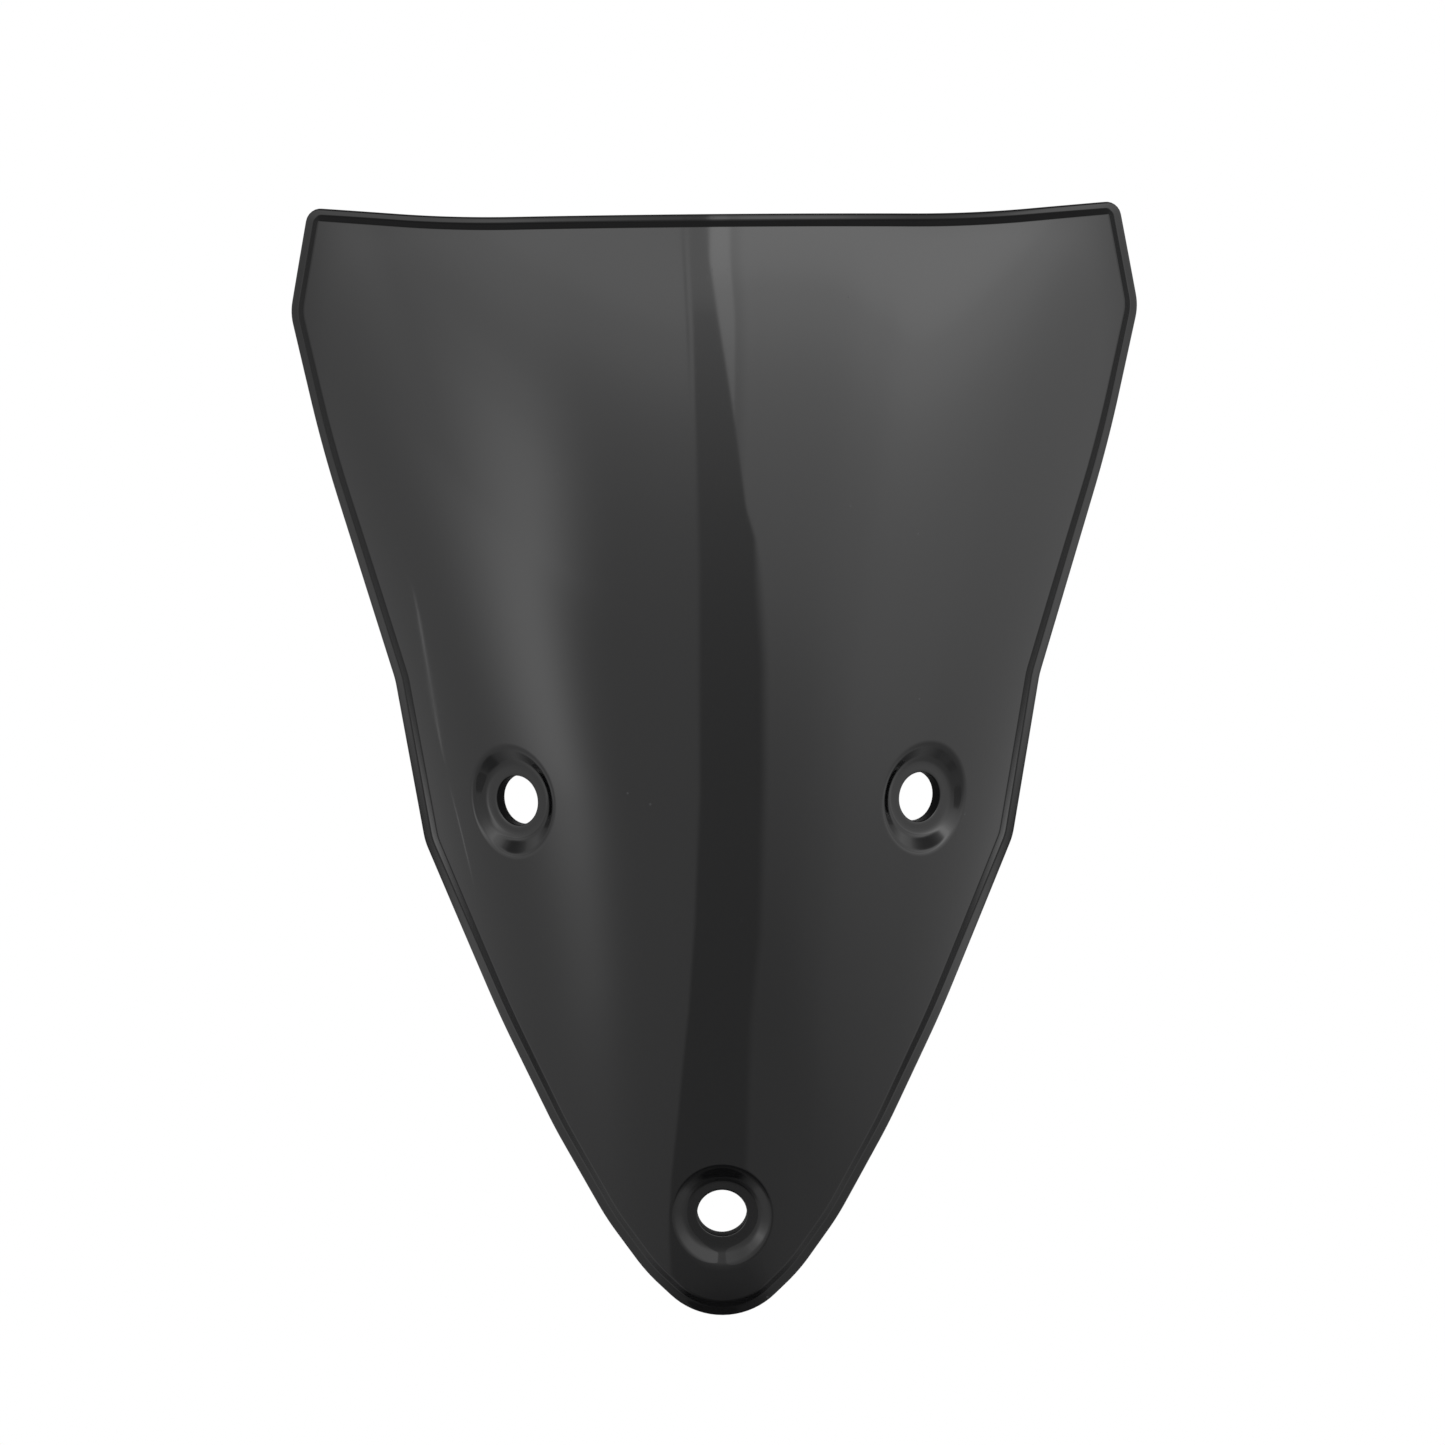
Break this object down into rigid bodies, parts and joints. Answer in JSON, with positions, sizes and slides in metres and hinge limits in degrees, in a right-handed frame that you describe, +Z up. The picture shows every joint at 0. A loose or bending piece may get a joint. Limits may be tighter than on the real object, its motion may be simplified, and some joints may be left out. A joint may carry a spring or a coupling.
{
  "type": "windshield screen",
  "caption": "Curved dark-tinted motorcycle fly screen bent round a vertical sweep, with a lowered lip round its edge and dished bolt holes, to turn the wind off the rider.",
  "frame": {"origin": "centre of the lower mounting hole, halfway through its wall", "axes": "+Z up the screen towards its wide top edge, -Y forwards out of its convex front face, +X to the left of a rider behind it, and the screen is symmetric about X = 0"},
  "size_m": [0.1812, 0.0523, 0.237],
  "materials": {
    "smoke_tint": "polished transparent plastic with a dark neutral smoke tint"
  },
  "bodies": {
    "root": {"screen": "smoke_tint"}
  },
  "joints": []
}
